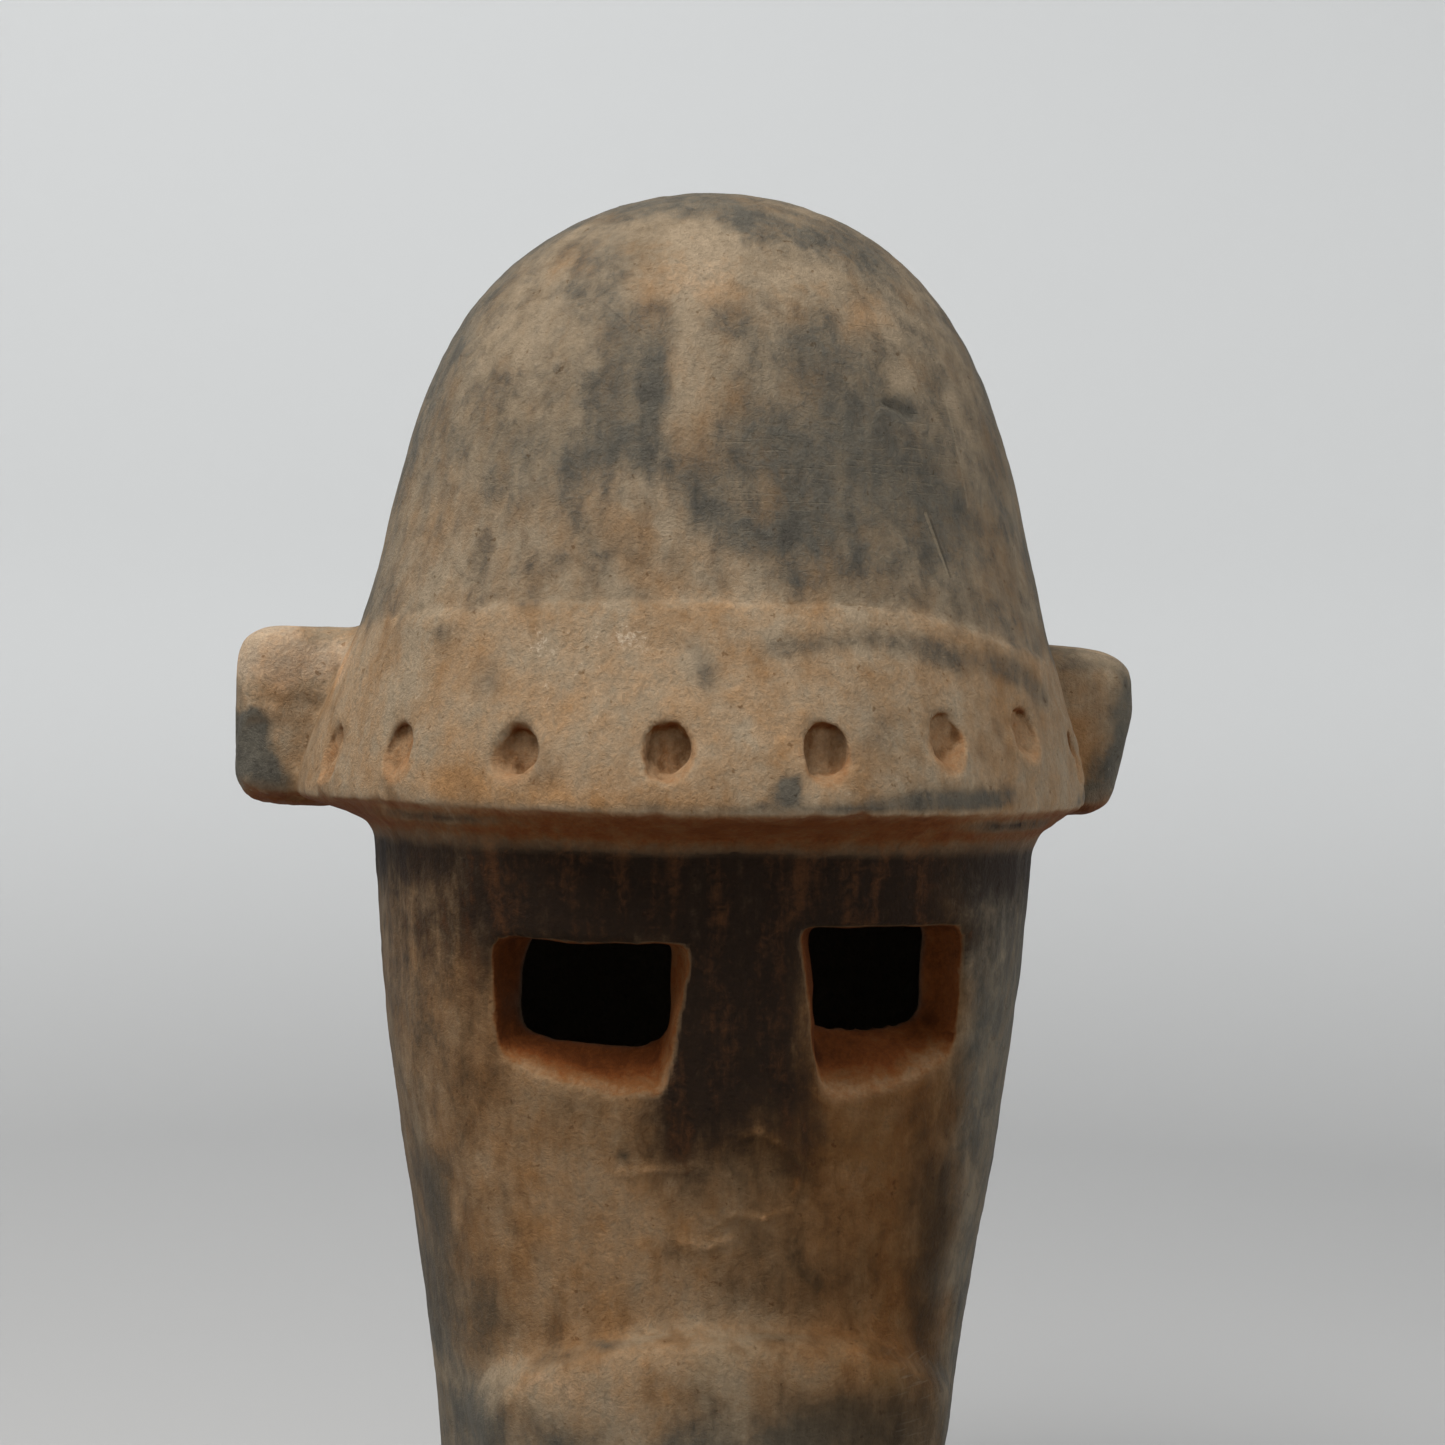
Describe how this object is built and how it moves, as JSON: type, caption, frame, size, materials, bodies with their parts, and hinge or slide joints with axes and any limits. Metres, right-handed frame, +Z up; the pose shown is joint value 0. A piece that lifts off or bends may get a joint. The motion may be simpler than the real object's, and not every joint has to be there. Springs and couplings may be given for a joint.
{
  "type": "wooden helmet mask",
  "caption": "Hollow carved wooden helmet mask with a bell-shaped dome, a holed brim band, side lugs, rectangular eye openings and a jutting muzzle.",
  "frame": {"origin": "centre of the box's footprint, in the plane of the open rim that the mask stands on", "axes": "+Z up towards the dome's crown, the face looks along -Y, +X towards the lug on the viewer's right"},
  "size_m": [0.347, 0.2933, 0.568],
  "materials": {
    "carved_wood": "dry, worn brown wood with a dark slate-grey patina on the dome and paler pinkish tan on the band"
  },
  "bodies": {
    "root": {"helmet_mask": "carved_wood"}
  },
  "joints": []
}
